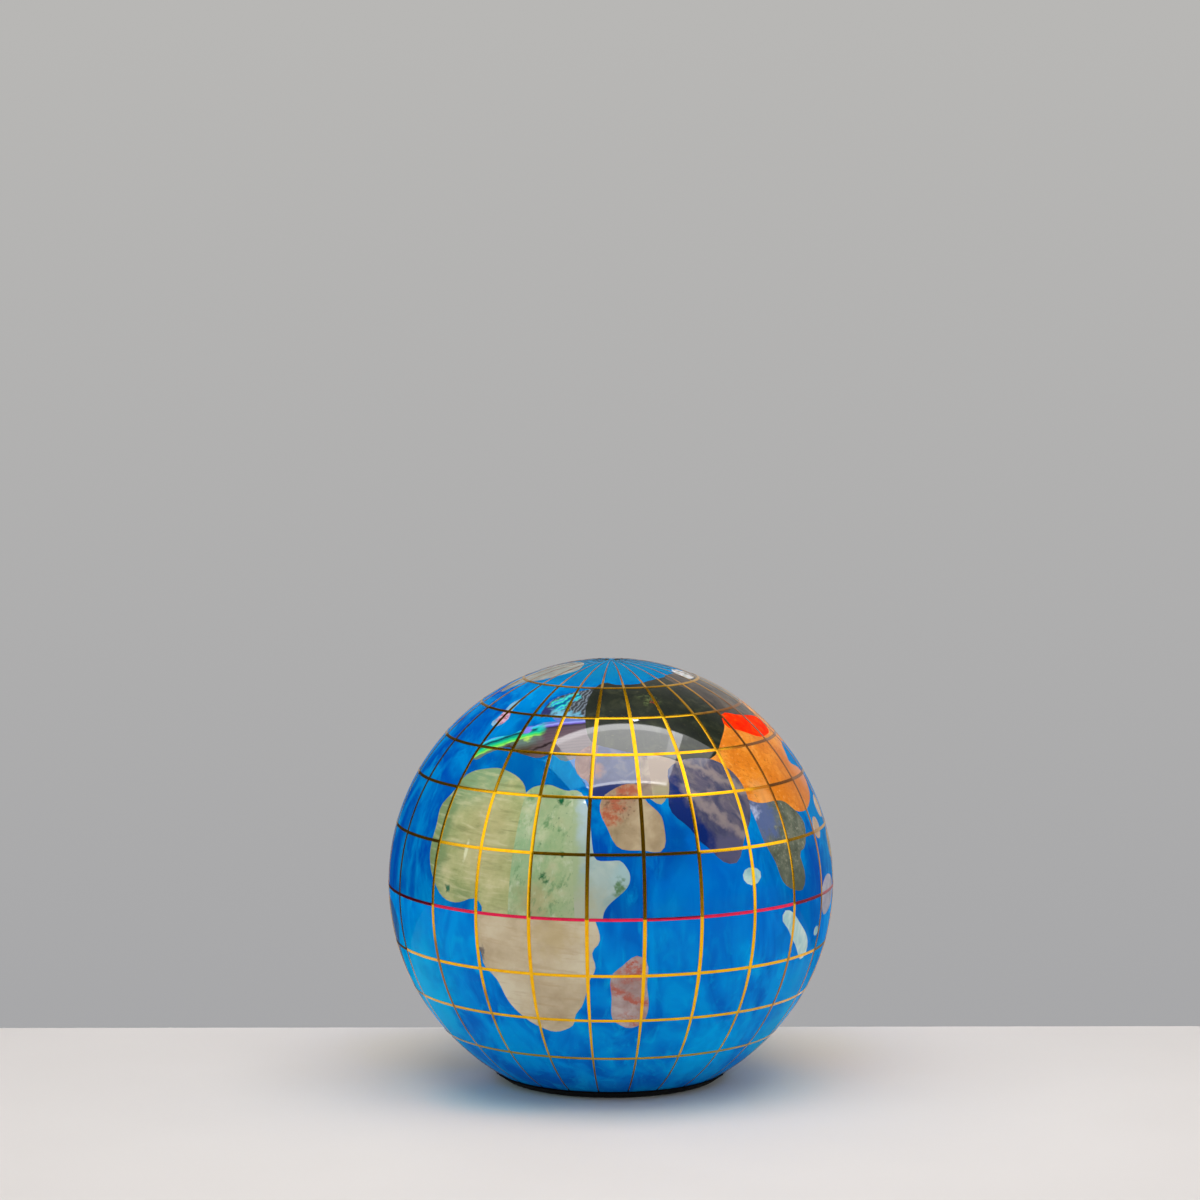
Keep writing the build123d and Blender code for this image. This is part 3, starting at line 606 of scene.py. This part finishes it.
def tan_plain():
    """Small islands and the Far East: slanting tan clouds. Greenland: grey ones."""
    look = Look("tan_stone")
    clouds = look.noise(look.place(stretch=(2, 1, 1), turn=(0, 20, 0)), 3.2, detail=5, distortion=0.5)
    colour = look.ramp(clouds, (0.3, (162, 130, 98)), (0.5, (190, 160, 128)), (0.7, (210, 188, 158)))
    grey = look.ramp(clouds, (0.3, (112, 120, 116)), (0.5, (136, 140, 132)), (0.7, (162, 162, 150)))
    colour = look.spot(colour, grey, (-30, 74), 16.0, edge=2.0)
    return look.finish(colour, clouds)


def white_shell():
    """Taymyr and Alaska: fine pale bands."""
    look = Look("white_shell", roughness=0.3)
    lines = look.bands(look.place(turn=(20, 40, 0)), 1.6, distortion=5.0)
    colour = look.ramp(lines, (0.1, (180, 180, 174)), (0.5, (204, 206, 204)), (0.9, (218, 212, 214)))
    return look.finish(colour, lines)


def pale_aqua():
    """Sri Lanka, Sumatra and Java: slanting pale clouds."""
    look = Look("pale_aqua_stone")
    clouds = look.noise(look.place(stretch=(1, 1, 2), turn=(0, 30, 0)), 2.4, detail=5, distortion=0.6)
    colour = look.ramp(clouds, (0.3, (138, 184, 190)), (0.5, (172, 208, 206)), (0.7, (206, 224, 216)))
    return look.finish(colour, clouds)


def core_stone():
    """The ball inside: plain grit."""
    look = Look("core", lacquer=0.0)
    grit = look.noise(look.place(), 1.0, detail=5)
    return look.finish(look.ramp(grit, (0.3, (120, 118, 112)), (0.7, (170, 168, 162))), grit)


# Painted shade: where the strips are painted browner, as they mirror the dim room or lie down by the pad,
# and the meridians at the sides too: a place, a radius, its soft edge, a tone
PAINTED_SHADE_PLACES = (
    ((105, 40), 15.0, 5.0, (164, 82, 0)), ((0, 90), 14.0, 4.0, (164, 82, 0)),
    ((0, -90), 29.0, 6.0, (112, 62, 6)),
)
PAINTED_SHADE_SIDES = (((-16, -22), 11.0, 4.0, (140, 84, 8)), ((96, -27), 11.0, 4.0, (140, 84, 8)))
PAINTED_SHADE_STRENGTH = 0.85


def metal(name, tone, tarnish, painted_shade_places=()):
    """Drawn strip with a little tarnish, and painted shade that makes it browner in places."""
    look = Look(name, roughness=0.22, metallic=1.0, lacquer=0.4)
    colour = look.above(tone, tarnish, look.noise(look.place(), 2.0), 0.5, 0.75, 0.6)
    # Painted shade: browner where the strips mirror dark surroundings or lie near the pad
    for place, radius, edge, shade_tone in painted_shade_places:
        colour = look.spot(colour, shade_tone, place, radius, PAINTED_SHADE_STRENGTH, edge=edge, ragged=2.0, grain=4.0)
    return look.finish(colour)


def felt():
    """Black felt: fine fibres with a little sheen."""
    look = Look("felt", roughness=0.95, lacquer=0.0)
    look.shader.inputs["Sheen Weight"].default_value = 0.03
    fibres = look.noise(look.place(), 0.25, detail=5, roughness=0.7, distortion=1.0)
    colour = look.ramp(fibres, (0.3, (3, 3, 4)), (0.7, (13, 13, 14)))
    return look.finish(colour, fibres, height=0.2)


NORTH_OCEAN = ocean(
    "ocean_north", tones=((0, 74, 168), (0, 98, 180), (0, 124, 196)), wisp=(6, 148, 210),
    pole=(0, 116, 164), facing_mirror=1.0, seed=3.0,
)
# Painted light: the southern ocean is a paler, more cyan copy of the northern one, as if lit from the table
# below
SOUTH_OCEAN = ocean(
    "ocean_south", tones=((0, 104, 200), (0, 126, 216), (0, 148, 226)), wisp=(6, 172, 232),
    pole=(0, 126, 216), facing_mirror=OCEAN_SLANTED_MIRROR, seed=17.0,
)
GOLD, DARK_GOLD = (255, 194, 16), (242, 160, 4)
# Brass with painted shade in places, and for the meridians painted shade at the sides too
BRASS = metal("brass_strip", GOLD, DARK_GOLD, PAINTED_SHADE_PLACES)
TALL_BRASS = metal("tall_brass_strip", GOLD, DARK_GOLD, PAINTED_SHADE_PLACES + PAINTED_SHADE_SIDES)
RED = metal("red_strip", (250, 44, 92), (200, 20, 70))
LOOKS = {
    "pale_green_stone": pale_green(), "speckled_green_stone": speckled_green(),
    "grey_green_stone": grey_green(), "cream_stone": cream(), "pink_veined_stone": pink_veined(),
    "tan_red_stone": tan_red(), "pink_brown_stone": pink_brown(), "indigo_stone": indigo(),
    "olive_grey_stone": olive_grey(), "orange_stone": orange(), "red_orange_stone": red_orange(),
    "dark_green_stone": dark_green(), "dark_brown_stone": dark_brown(), "abalone_shell": abalone(),
    "pale_pink_stone": pale_pink(), "tan_stone": tan_plain(), "white_shell": white_shell(),
    "pale_aqua_stone": pale_aqua(), "core": core_stone(),
}
SLOT_OF = {
    part["node"]: part["material_slot"] for part in frame["record"]["subparts"] if "material_slot" in part
}


def place_piece(name, mesh, material, node):
    """A finished piece that stands for a CAD node."""
    piece = bpy.data.objects.new(name, mesh)
    bpy.context.scene.collection.objects.link(piece)
    mesh.materials.clear()
    mesh.materials.append(material)
    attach(piece, BODY)
    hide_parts(node)
    return piece


def polished(node, material):
    """A copy of a CAD piece whose outer face is shaded as the ball that it is ground to."""
    mesh = frame["nodes"][node].data.copy()
    places = np.empty(len(mesh.vertices) * 3)
    mesh.vertices.foreach_get("co", places)
    rays = places.reshape(-1, 3) - CENTRE
    outer = np.abs(np.linalg.norm(rays, axis=1) - GLOBE_RADIUS) < ON_BALL
    rays = unit(rays)
    normals = np.empty((len(mesh.loops), 3))
    for face in mesh.polygons:
        on_ball = all(outer[v] for v in face.vertices)
        for loop, vertex in zip(face.loop_indices, face.vertices):
            normals[loop] = rays[vertex] if on_ball else face.normal
    mesh.polygons.foreach_set("use_smooth", np.ones(len(mesh.polygons), bool))
    mesh.normals_split_custom_set(normals.tolist())
    return place_piece(f"{node}_polished", mesh, material, node)


class StripMesh:
    """Gathers flat strips, each made of nearly straight pieces that bend where they cross another strip."""

    def __init__(self):
        self.points, self.faces, self.normals = [], [], []

    def face(self, corners, normals):
        """One face, with a normal for each corner."""
        self.faces.append(corners)
        self.normals.extend(normals)

    def run(self, rays, sides, half_widths):
        """One piece of strip along rays from the ball's centre; sides point to its right."""
        along = unit(rays[-1] - rays[0])
        lean = rng.normal(0.0, TILT) * sides.mean(axis=0) + rng.normal(0.0, TILT) * along
        facing = unit((1 - FLATNESS) * rays + FLATNESS * unit(rays.mean(axis=0)) + lean)
        left, right = facing - CROWN * sides, facing + CROWN * sides
        first = len(self.points)
        top = GLOBE_RADIUS + STRIP_RISE
        bottom = GLOBE_RADIUS - STRIP_SINK
        for ray, side, half in zip(rays, sides, half_widths):
            for radius, across in ((top, -half), (top, half), (bottom, half), (bottom, -half)):
                self.points.append(CENTRE + ray * radius + side * across)
        for i in range(len(rays) - 1):
            a, b = first + 4 * i, first + 4 * (i + 1)
            self.face((a, a + 1, b + 1, b), (left[i], right[i], right[i + 1], left[i + 1]))
            self.face((a + 1, a + 2, b + 2, b + 1), (sides[i],) * 4)
            self.face((a + 3, a, b, b + 3), (-sides[i],) * 4)
            self.face((a + 3, b + 3, b + 2, a + 2), (-rays[i],) * 4)
        last = first + 4 * (len(rays) - 1)
        self.face((first, first + 3, first + 2, first + 1), (-along,) * 4)
        self.face((last, last + 1, last + 2, last + 3), (along,) * 4)

    def mesh(self, name):
        """The strips gathered so far as one mesh."""
        mesh = bpy.data.meshes.new(name)
        mesh.from_pydata([p.tolist() for p in self.points], [], self.faces)
        mesh.polygons.foreach_set("use_smooth", np.ones(len(mesh.polygons), bool))
        mesh.normals_split_custom_set(unit(np.array(self.normals)).tolist())
        return mesh


def meridian_width(latitude):
    """The width of a meridian strip, which tapers to the pole and to the flat."""
    lower, upper = TAPER_LATITUDES
    if latitude > upper:
        return MERIDIAN_WIDTH * cos(radians(latitude)) / cos(radians(upper))
    foot, here, full = (sin(radians(angle)) for angle in (LOWEST_LATITUDE, latitude, lower))
    return np.interp(here, (foot, full), (MERIDIAN_FOOT_WIDTH, MERIDIAN_WIDTH))


def meridian_strips(name):
    """The strips from the flat to the pole, bent at every parallel."""
    strips = StripMesh()
    bends = (LOWEST_LATITUDE, *SOUTHERN_PARALLELS, *EQUATOR, *NORTHERN_PARALLELS, HIGHEST_LATITUDE)
    for longitude in MERIDIANS:
        for start, end in zip(bends[:-1], bends[1:]):
            latitudes = np.linspace(start, end, STATIONS)
            rays = np.array([direction(longitude, latitude) for latitude in latitudes])
            sides = np.array([eastward(longitude)] * STATIONS)
            strips.run(rays, sides, np.array([meridian_width(latitude) / 2 for latitude in latitudes]))
    return strips.mesh(name)


def parallel_strips(name, parallels):
    """The short strips of these parallels, each from one meridian to the next."""
    strips = StripMesh()
    for latitude in parallels:
        ring = GLOBE_RADIUS * cos(radians(latitude))
        gap = np.degrees((meridian_width(latitude) / 2 + STRIP_GAP) / ring)
        for start, end in zip(MERIDIANS, MERIDIANS[1:] + (MERIDIANS[0] + 360,)):
            longitudes = np.linspace(start + gap, end - gap, STATIONS)
            rays = np.array([direction(longitude, latitude) for longitude in longitudes])
            norths = np.cross(rays, [eastward(longitude) for longitude in longitudes])
            strips.run(rays, -norths, np.full(STATIONS, PARALLEL_WIDTH / 2))
    return strips.mesh(name)


def lay_strips(node, mesh, material):
    """The drawn strips that stand for a CAD node."""
    return place_piece(f"{node}_drawn", mesh, material, node)


for node in frame["nodes"]:
    if node.endswith(("_stone", "_stones")) or node == "core":
        slot = SLOT_OF[node]
        polished(node, LOOKS[slot])
polished("ocean_shell_north", NORTH_OCEAN)
polished("ocean_shell_south", SOUTH_OCEAN)
strip_pieces = [lay_strips("meridian_strips", meridian_strips("meridian_strips"), TALL_BRASS)]
for node, parallels, material, slot in (
    ("parallel_strips_north", NORTHERN_PARALLELS, BRASS, "brass_strip"),
    ("parallel_strips_south", SOUTHERN_PARALLELS, BRASS, "brass_strip"),
    ("equator_strips", EQUATOR, RED, "red_strip"),
):
    strip_pieces.append(lay_strips(node, parallel_strips(node, parallels), material))

# Felt pad: a cut disc with a soft, slightly uneven edge. Its profile is in shares of radius and thickness
PAD_TURNS = 240
PAD_UNEVEN = 0.05 * MM
PAD_EVEN_SHARE = 0.89
PAD_PROFILE = (
    (0.0, 0.0), (0.6, 0.0), (0.895, 0.0), (0.915, 0.08), (0.955, 0.48), (0.985, 0.8), (1.0, 0.94),
    (0.998, 1.0), (0.6, 1.0), (0.0, 1.0),
)


def felt_pad():
    """A lathed disc whose rim wanders a little."""
    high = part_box("base_pad")[1]
    radius, thickness = high.x, high.z
    wander = rng.normal(0.0, PAD_UNEVEN, (len(PAD_PROFILE), PAD_TURNS))
    points, faces = [], []
    for row, (share, height) in enumerate(PAD_PROFILE):
        for step in range(PAD_TURNS):
            angle = 2 * pi * step / PAD_TURNS
            reach = radius * share + (wander[row, step] if share > PAD_EVEN_SHARE else 0.0)
            points.append((reach * cos(angle), reach * sin(angle), height * thickness))
    for row in range(len(PAD_PROFILE) - 1):
        for step in range(PAD_TURNS):
            after = (step + 1) % PAD_TURNS
            a, b = row * PAD_TURNS, (row + 1) * PAD_TURNS
            faces.append((a + step, a + after, b + after, b + step))
    mesh = bpy.data.meshes.new("base_pad")
    mesh.from_pydata(points, [], faces)
    mesh.validate()
    mesh.polygons.foreach_set("use_smooth", np.ones(len(mesh.polygons), bool))
    return mesh


pad = place_piece("base_pad_felt", felt_pad(), felt(), "base_pad")

# Table: a pale top that ends just behind the ball, with painted light and shade around it. The places of its
# painted shadow and shade tints are in millimetres
TABLE_BACK = 0.042
TABLE_FRONT = -1.4
TABLE_HALF_WIDTH = 1.2
# Centres, in millimetres, of the painted bluish shadow and of the painted warm shade behind the ball
PAINTED_SHADOW_PLACE = (-17, -17, 0)
PAINTED_WARM_SHADE_PLACES = ((-31, 24, 0), (31, 24, 0))


def table_top():
    """Matt and pale, with painted light and shade: a painted brighter ring around the ball with a cooler
    tone close to the pad and darker further off, a painted bluish shadow at the left front, and painted warm
    shade behind at both sides.
    """
    look = Look("table", roughness=0.6, lacquer=0.0)
    mottle = look.noise(look.place(), 60.0, detail=2)
    colour = look.ramp(mottle, (0.3, (212, 207, 203)), (0.7, (216, 211, 207)))
    from_pad = look.length(look.place())
    # Painted light and shade: the top is brighter in a ring around the ball and painted darker further off
    colour = look.above(colour, (208, 203, 199), from_pad, 70.0, 160.0)
    # Painted bounce light: a cooler tone close around the pad
    colour = look.below(colour, (209, 211, 207), from_pad, 28.0, 46.0)
    # Painted shadow: a bluish teal shadow at the left front of the pad
    from_painted_shadow = look.length(look.place(shift=PAINTED_SHADOW_PLACE))
    colour = look.below(colour, (168, 198, 203), from_painted_shadow, 5.0, 19.0, 0.75)
    # Painted shade: warm tints in the shadow behind the ball at both sides
    for place in PAINTED_WARM_SHADE_PLACES:
        from_painted_warm_shade = look.length(look.place(shift=place))
        colour = look.below(colour, (216, 208, 192), from_painted_warm_shade, 5.0, 26.0, 0.7)
    return look.finish(colour)


table_mesh = bpy.data.meshes.new("table")
table_mesh.from_pydata(
    [(-TABLE_HALF_WIDTH, TABLE_FRONT, 0), (TABLE_HALF_WIDTH, TABLE_FRONT, 0),
     (TABLE_HALF_WIDTH, TABLE_BACK, 0), (-TABLE_HALF_WIDTH, TABLE_BACK, 0)],
    [], [(0, 1, 2, 3)],
)
table_mesh.materials.append(table_top())
table = bpy.data.objects.new("table", table_mesh)
bpy.context.scene.collection.objects.link(table)


def softbox(name, place, aim, width, height, radiance, roll=0.0):
    """A rectangular lamp whose face has this radiance."""
    lamp = bpy.data.lights.new(name, "AREA")
    lamp.shape = "RECTANGLE"
    lamp.size, lamp.size_y = width, height
    lamp.energy = radiance * pi * width * height
    holder = bpy.data.objects.new(name, lamp)
    facing = (Vector(aim) - Vector(place)).to_track_quat("-Z", "Y").to_matrix().to_4x4()
    holder.matrix_world = Matrix.Translation(place) @ facing @ Matrix.Rotation(roll, 4, "Z")
    bpy.context.scene.collection.objects.link(holder)
    return holder


def matt_lamp(*shape):
    """A lamp that lights surfaces and isn't mirrored in them."""
    holder = softbox(*shape)
    holder.visible_glossy = False
    holder.data.cycles.use_multiple_importance_sampling = False


def shine(receivers, *shape):
    """A lamp that is mirrored in these pieces and lights nothing."""
    holder = softbox(*shape)
    holder.visible_diffuse = False
    holder.light_linking.receiver_collection = receivers
    return holder


# Lamps that light matt surfaces: a panel overhead and a paler one on each side.
# Each has a name, a place, an aim, a width, a height, a radiance and a roll
MATT_LAMPS = (
    ("panel", (0.03, -0.11, 0.45), (0.03, -0.11, 0.0), 0.46, 0.28, 2.85, radians(7)),
    ("left", (-0.66, -0.21, 0.29), (0, 0, 0.03), 0.5, 0.64, 0.95),
    ("right", (0.66, -0.21, 0.29), (0, 0, 0.03), 0.5, 0.64, 0.78),
)
for lamp in MATT_LAMPS:
    matt_lamp(*lamp)

# What gloss sees are lamps of its own, and the strips see others than the lacquer does
strips_lit = bpy.data.collections.new("strips_lit")
strips_unlit = bpy.data.collections.new("strips_unlit")
for strip in strip_pieces:
    strips_lit.objects.link(strip)
    strips_unlit.objects.link(strip)
for member in strips_unlit.collection_objects:
    member.light_linking.link_state = "EXCLUDE"

# The panel that the lacquer mirrors: a face, a brighter near rim, a far rim that fades to the right,
# a dim end on the right and a bluish flank on the left. PANEL_RUN points across it to the near rim.
# Each part of it has a name, a reach along the run, a drop, a left and a right end, a depth and a radiance
PANEL = Vector((0.0745, -0.1355, 0.495))
PANEL_FACING = Vector((0.042, -0.259, -0.965))
PANEL_RUN = Vector((0.1545, -0.953, 0.262))
PANEL_RIGHT = PANEL_RUN.cross(PANEL_FACING)
PANEL_WIDTH, PANEL_DEPTH, PANEL_RIM, RIM_DROP = 0.438, 0.343, 0.022, 0.003
PANEL_SHORTER = 0.056
PANEL_ENDS = (-PANEL_WIDTH / 2, PANEL_WIDTH / 2 - PANEL_SHORTER)
RIM_REACH = (PANEL_DEPTH - PANEL_RIM) / 2
FAR_RIM = 1.4 * PANEL_RIM
RIM_FADES = (0.09, 0.135, 0.18)
PANEL_PARTS = (
    ("panel_face", 0.0, 0.0, *PANEL_ENDS, PANEL_DEPTH, 12.4),
    ("panel_near_rim", RIM_REACH, RIM_DROP, *PANEL_ENDS, PANEL_RIM, 13.6),
    ("panel_far_rim", -RIM_REACH, RIM_DROP, PANEL_ENDS[0], RIM_FADES[0], FAR_RIM, 7.0),
    ("panel_far_rim_faint", -RIM_REACH, RIM_DROP, RIM_FADES[0], RIM_FADES[1], FAR_RIM, 4.0),
    ("panel_far_rim_end", -RIM_REACH, RIM_DROP, RIM_FADES[1], RIM_FADES[2], FAR_RIM, 1.2),
)
for name, reach, drop, left, right, depth, radiance in PANEL_PARTS:
    place = PANEL + PANEL_RUN * reach + PANEL_FACING * drop + PANEL_RIGHT * (left + right) / 2
    shine(strips_unlit, name, place, place + PANEL_FACING, right - left, depth, radiance)
END_FURTHER, END_WIDTH, END_DEPTH, END_RADIANCE = 0.02, 0.13 + PANEL_SHORTER, 0.16, 4.5
END_PLACE = Vector((0.31, -0.02, 0.5)) - PANEL_RIGHT * PANEL_SHORTER / 2 - PANEL_RUN * END_FURTHER
shine(strips_unlit, "panel_end", END_PLACE, END_PLACE + PANEL_FACING, END_WIDTH, END_DEPTH, END_RADIANCE)

# The strips mirror three plain lamps, written as the matt ones are
STRIP_LAMPS = (
    ("panel_on_strips", (0.14, -0.1, 0.5), (0.14, -0.1, 0.0), 0.62, 0.44, 1.5, radians(9)),
    ("left_on_strips", (-0.6, -0.26, 0.33), (0.02, -0.06, 0.035), 0.67, 0.62, 1.1),
    ("right_on_strips", (0.66, -0.07, 0.34), (0, 0, 0.035), 0.7, 0.66, 1.1),
)
for lamp in STRIP_LAMPS:
    shine(strips_lit, *lamp)

# The panel's flank
FLANK_LEFT, FLANK_NEARER = 0.259, 0.02
FLANK_WIDTH, FLANK_DEPTH, FLANK_RADIANCE = 0.078, 0.26, 7.5
FLANK_COLOUR = (0.12, 0.9, 1.0)
FLANK_PLACE = PANEL - PANEL_RIGHT * FLANK_LEFT + PANEL_RUN * FLANK_NEARER
flank = shine(
    strips_unlit, "panel_flank", FLANK_PLACE, FLANK_PLACE + PANEL_FACING,
    FLANK_WIDTH, FLANK_DEPTH, FLANK_RADIANCE,
)
flank.data.color = FLANK_COLOUR

# Two small bright lamps that the lacquer mirrors as dots: a place and a size each
DOT_LAMPS = (((0.063, 0.055, 0.45), 0.016), ((-0.121, -0.357, 0.45), 0.011))
DOT_RADIANCE = 45.0
DOT_COLOUR = (0.86, 0.92, 1.0)
for place, size in DOT_LAMPS:
    dot = shine(strips_unlit, "spot", place, CENTRE, size, size, DOT_RADIANCE)
    dot.data.color = DOT_COLOUR

# World: a pale wall for the camera, a soft fill for matt surfaces, and for gloss a dim room with the wall
# at its back on the right, which comes in between these limits of each axis
WALL_LIMITS = {"Z": (-0.4, -0.1), "Y": (0.4, 0.8), "X": (-0.4, -0.05)}
world = bpy.data.worlds.new("studio")
bpy.context.scene.world = world
world.use_nodes = True
sky = Nodes(world.node_tree)
ray = sky.add("ShaderNodeLightPath").outputs
towards = sky.add("ShaderNodeTexCoord").outputs["Generated"]
axes = sky.add("ShaderNodeSeparateXYZ", {"Vector": towards}).outputs


def sky_ramp(axis, *stops):
    """Colours along one axis of the direction that a ray takes, from -1 to 1."""
    share = sky.span(axes[axis], -1.0, 1.0, kind="LINEAR")
    return sky.ramp(share, *(((position + 1) / 2, colour) for position, colour in stops))


wall = sky_ramp("Z", (-0.22, (166, 166, 168)), (0.02, (184, 183, 181)))
dim = sky_ramp("Y", (-0.2, (38, 37, 36)), (0.6, (44, 44, 46)))
fill = sky_ramp("Z", (-0.2, (206, 206, 208)), (0.4, (214, 214, 216)))
rise, away, side = (sky.span(axes[axis], *limits) for axis, limits in WALL_LIMITS.items())
on_wall = sky.math("MULTIPLY", sky.math("MULTIPLY", rise, away), side)
seen = sky.blend(ray["Is Glossy Ray"], fill, sky.blend(on_wall, dim, wall))
seen = sky.blend(ray["Is Camera Ray"], seen, wall)
sky.feed(sky.tree.nodes["Background"].inputs["Color"], seen)

# Camera, from the photograph's height and framing
VIEW_DISTANCE = 0.8
VIEW_ELEVATION = radians(9.9)
VIEW_AZIMUTH = radians(-0.6)
SENSOR_WIDTH = 36.0
FOCAL_PIXELS = 4434.0
FRAME_PIXELS = 1200.0
BALL_PIXELS_RIGHT = 11.0
BALL_PIXELS_DOWN = 280.0
camera_data = bpy.data.cameras.new("camera")
camera_data.sensor_width = SENSOR_WIDTH
camera_data.lens = SENSOR_WIDTH * FOCAL_PIXELS / FRAME_PIXELS
camera = bpy.data.objects.new("camera", camera_data)
bpy.context.scene.collection.objects.link(camera)
back = Vector((
    cos(VIEW_ELEVATION) * sin(VIEW_AZIMUTH), -cos(VIEW_ELEVATION) * cos(VIEW_AZIMUTH), sin(VIEW_ELEVATION),
))
camera.location = Vector(CENTRE) + back * VIEW_DISTANCE
pitch = -VIEW_ELEVATION + atan(BALL_PIXELS_DOWN / FOCAL_PIXELS)
camera.rotation_euler = (pi / 2 + pitch, 0.0, VIEW_AZIMUTH + atan(BALL_PIXELS_RIGHT / FOCAL_PIXELS))
bpy.context.scene.camera = camera
bpy.context.scene.view_settings.view_transform = "Standard"
